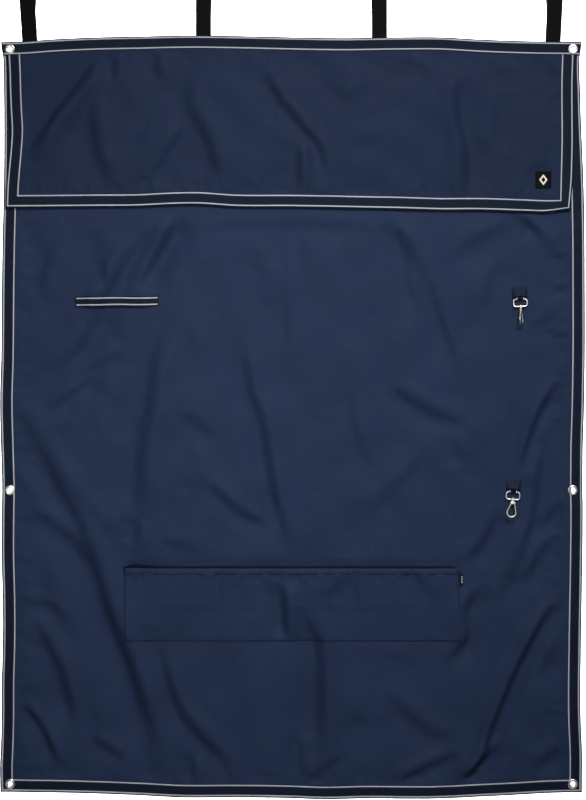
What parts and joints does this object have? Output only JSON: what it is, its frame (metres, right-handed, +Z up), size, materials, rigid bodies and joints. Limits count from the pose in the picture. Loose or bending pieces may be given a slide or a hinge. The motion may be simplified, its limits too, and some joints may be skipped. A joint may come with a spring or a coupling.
{
  "type": "stable curtain",
  "caption": "Stable curtain of navy cloth with piped tape edges, a top flap, a divided pocket, a keeper strip, swivel snap hooks, eyelets and hanging straps.",
  "frame": {"origin": "on the axis of the stall rail, midway between the four strap loops; the curtain hangs below it", "axes": "+Z up, +X to the right as seen from the front, the front faces -Y"},
  "size_m": [1.5, 0.0737, 2.0881],
  "materials": {
    "navy_cloth": "tightly woven polyester, dull sheen",
    "navy_tape": "ribbed woven tape, matte",
    "light_piping": "pale grey woven line",
    "black_webbing": "black polyester webbing",
    "hook_tape": "hook-and-loop tape",
    "nickel": "bright nickel plate",
    "badge_rubber": "moulded, satin",
    "label_satin": "woven satin"
  },
  "bodies": {
    "curtain": {"main_panel": "navy_cloth", "pocket_pouch": "navy_cloth", "pocket_hem": "navy_cloth", "upper_hook_cover": "navy_cloth", "lower_hook_cover": "navy_cloth", "top_binding": "navy_tape", "left_binding": "navy_tape", "right_binding": "navy_tape", "bottom_binding": "navy_tape", "keeper_strip": "navy_tape", "upper_hook_webbing_loop": "navy_tape", "lower_hook_webbing_loop": "navy_tape", "top_outer_piping": "light_piping", "top_inner_piping": "light_piping", "side_outer_piping": "light_piping", "side_inner_piping": "light_piping", "strap_far_left": "black_webbing", "strap_far_left_loop_pad": "hook_tape", "strap_inner_left": "black_webbing", "strap_inner_left_loop_pad": "hook_tape", "strap_inner_right": "black_webbing", "strap_inner_right_loop_pad": "hook_tape", "strap_far_right": "black_webbing", "strap_far_right_loop_pad": "hook_tape", "eyelet_top_left": "nickel", "eyelet_washer_top_left": "nickel", "eyelet_top_right": "nickel", "eyelet_washer_top_right": "nickel", "eyelet_middle_left": "nickel", "eyelet_washer_middle_left": "nickel", "eyelet_middle_right": "nickel", "eyelet_washer_middle_right": "nickel", "eyelet_bottom_left": "nickel", "eyelet_washer_bottom_left": "nickel", "eyelet_bottom_right": "nickel", "eyelet_washer_bottom_right": "nickel", "side_label": "label_satin"},
    "flap": {"flap_panel": "navy_cloth", "flap_left_binding": "navy_tape", "flap_right_binding": "navy_tape", "flap_bottom_binding": "navy_tape", "flap_outer_piping": "light_piping", "flap_inner_piping": "light_piping", "maker_badge": "badge_rubber"},
    "upper_ring": {"upper_hook_ring": "nickel"},
    "upper_hook": {"upper_hook_body": "nickel", "upper_hook_gate_pin": "nickel"},
    "upper_gate": {"upper_hook_gate": "nickel"},
    "lower_ring": {"lower_hook_ring": "nickel"},
    "lower_hook": {"lower_hook_body": "nickel", "lower_hook_gate_pin": "nickel"},
    "lower_gate": {"lower_hook_gate": "nickel"},
    "strap_far_left_tail": {"strap_far_left_tail": "black_webbing", "strap_far_left_hook_pad": "hook_tape"},
    "strap_inner_left_tail": {"strap_inner_left_tail": "black_webbing", "strap_inner_left_hook_pad": "hook_tape"},
    "strap_inner_right_tail": {"strap_inner_right_tail": "black_webbing", "strap_inner_right_hook_pad": "hook_tape"},
    "strap_far_right_tail": {"strap_far_right_tail": "black_webbing", "strap_far_right_hook_pad": "hook_tape"}
  },
  "joints": [
    {"name": "flap_fold", "type": "hinge", "parent": "curtain", "child": "flap", "pos_m": [0, -0.032, -0.1605], "axis": [-1, 0, 0], "range_deg": [0, 165]},
    {"name": "upper_ring_lift", "type": "hinge", "parent": "curtain", "child": "upper_ring", "pos_m": [0.589, -0.0294, -0.7936], "axis": [-0.9991, 0, -0.0419], "range_deg": [0, 100]},
    {"name": "upper_swivel", "type": "hinge", "parent": "upper_ring", "child": "upper_hook", "pos_m": [0.58978, -0.03266, -0.8121], "axis": [-0.0412, 0.1737, 0.9839], "continuous": true},
    {"name": "upper_gate_open", "type": "hinge", "parent": "upper_hook", "child": "upper_gate", "pos_m": [0.59217, -0.03008, -0.82262], "axis": [-0.9098, 0.4006, -0.1088], "range_deg": [0, 22], "stiffness_Nm_per_rad": 0.01, "springref_deg": -20.05},
    {"name": "lower_ring_lift", "type": "hinge", "parent": "curtain", "child": "lower_ring", "pos_m": [0.571, -0.0294, -1.29], "axis": [-0.9969, 0, 0.0785], "range_deg": [0, 100]},
    {"name": "lower_swivel", "type": "hinge", "parent": "lower_ring", "child": "lower_hook", "pos_m": [0.56955, -0.03266, -1.30846], "axis": [0.0773, 0.1737, 0.9818], "continuous": true},
    {"name": "lower_gate_open", "type": "hinge", "parent": "lower_hook", "child": "lower_gate", "pos_m": [0.57356, -0.0344, -1.31865], "axis": [-0.0136, 0.9848, -0.1731], "range_deg": [0, 22], "stiffness_Nm_per_rad": 0.01, "springref_deg": -20.05},
    {"name": "strap_far_left_open", "type": "hinge", "parent": "curtain", "child": "strap_far_left_tail", "pos_m": [-0.68372, 0.0221, 0], "axis": [0.9976, 0, 0.0698], "range_deg": [0, 100]},
    {"name": "strap_inner_left_open", "type": "hinge", "parent": "curtain", "child": "strap_inner_left_tail", "pos_m": [-0.227, 0.0221, 0], "axis": [1, 0, 0], "range_deg": [0, 100]},
    {"name": "strap_inner_right_open", "type": "hinge", "parent": "curtain", "child": "strap_inner_right_tail", "pos_m": [0.227, 0.0221, 0], "axis": [1, 0, 0], "range_deg": [0, 100]},
    {"name": "strap_far_right_open", "type": "hinge", "parent": "curtain", "child": "strap_far_right_tail", "pos_m": [0.68154, 0.0221, 0], "axis": [0.9986, 0, -0.0523], "range_deg": [0, 100]}
  ]
}
